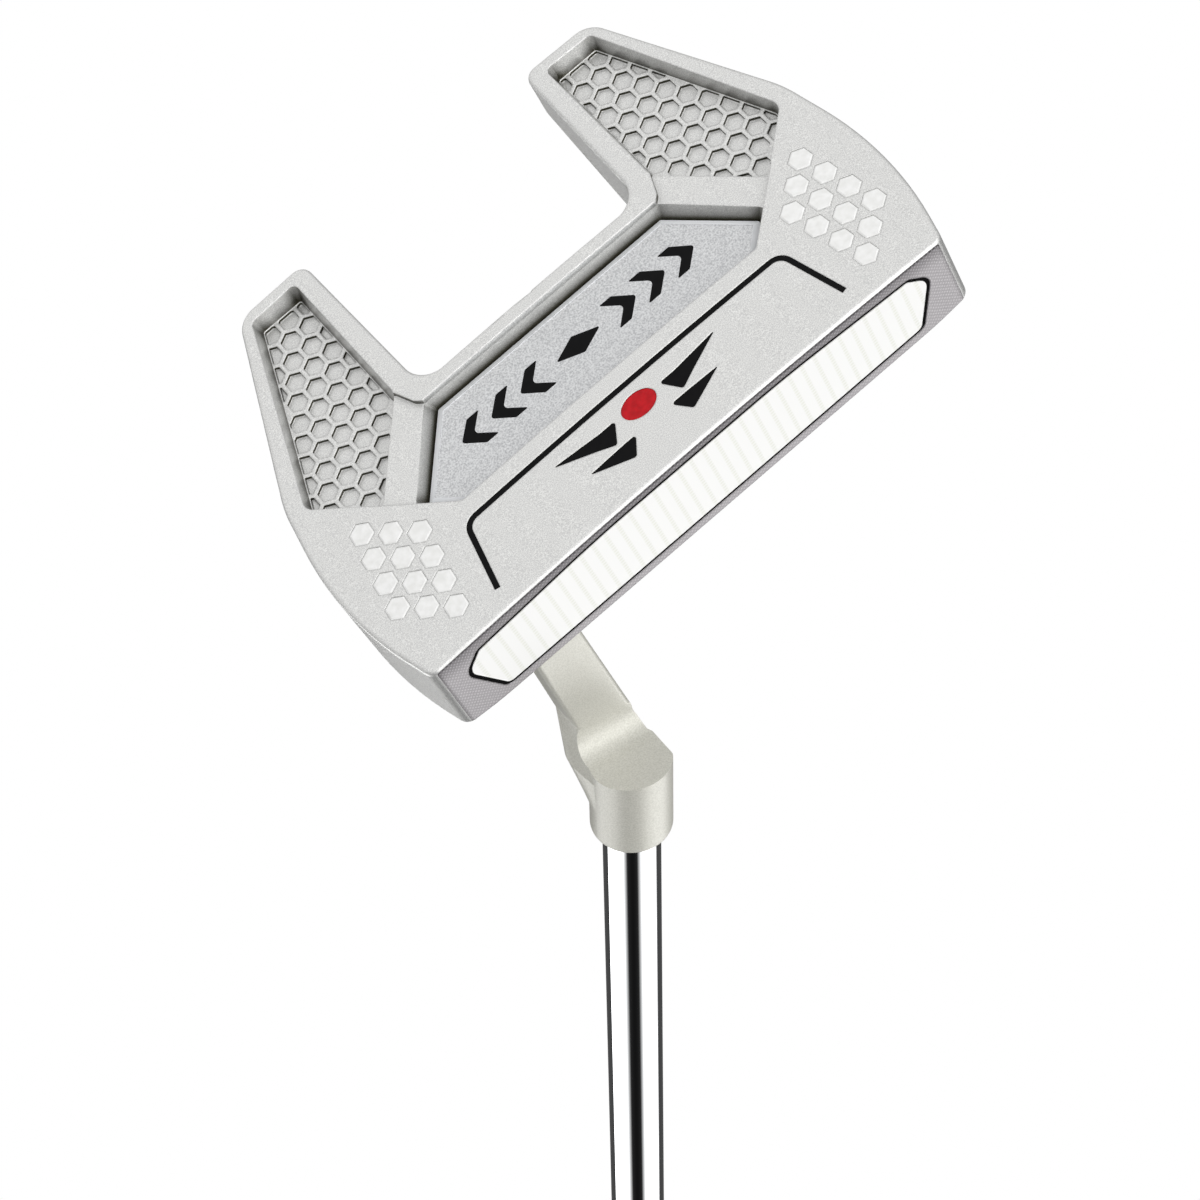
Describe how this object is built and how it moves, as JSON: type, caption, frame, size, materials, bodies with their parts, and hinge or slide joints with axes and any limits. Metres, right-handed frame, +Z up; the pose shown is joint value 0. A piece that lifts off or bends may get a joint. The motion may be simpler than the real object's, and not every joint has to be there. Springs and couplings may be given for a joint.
{
  "type": "mallet putter",
  "caption": "Winged mallet golf putter head with a white face insert, offset neck, slim stepped shaft and pistol grip.",
  "frame": {"origin": "middle of the sole's flat strip, 18 mm behind the leading edge, on the ground plane", "axes": "+Z up from the ground, +Y away from the face towards the wings, +X towards the heel and the leaning shaft"},
  "size_m": [0.3845, 0.0905, 0.8123],
  "materials": {
    "head_silver": "satin silver coat with fine metallic fleck",
    "neck_satin": "bead-blasted satin",
    "adhesive": "cured epoxy",
    "insert_white": "smooth, moulded dotted bands",
    "bezel_black": "satin black",
    "bonding_tape": "adhesive film",
    "badge_grey": "light speckled grey with a bright bevel",
    "line_black": "gloss enamel",
    "enamel_red": "gloss enamel",
    "inlay_white": "gloss",
    "sight_line_dark": "flat paint",
    "shaft_chrome": "mirror chrome",
    "plug_plastic": "moulded",
    "grip_rubber": "matt with fine moulded texture",
    "grip_tape": "two-sided tape",
    "cap_rubber": "matt"
  },
  "bodies": {
    "root": {"head_body": "head_silver", "hosel_neck": "neck_satin", "neck_bond": "adhesive", "face_insert": "insert_white", "insert_bezel": "bezel_black", "insert_tape": "bonding_tape", "badge_plate": "badge_grey", "badge_tape": "bonding_tape", "badge_ornament": "line_black", "sole_line_fill": "line_black", "emblem_blades": "line_black", "emblem_disc": "enamel_red", "heel_inlays": "inlay_white", "toe_inlays": "inlay_white", "crown_sight_line": "sight_line_dark", "shaft_tube": "shaft_chrome", "shaft_bond": "adhesive", "tip_plug": "plug_plastic", "grip_sleeve": "grip_rubber", "grip_tape": "grip_tape", "grip_end_cap": "cap_rubber"}
  },
  "joints": []
}
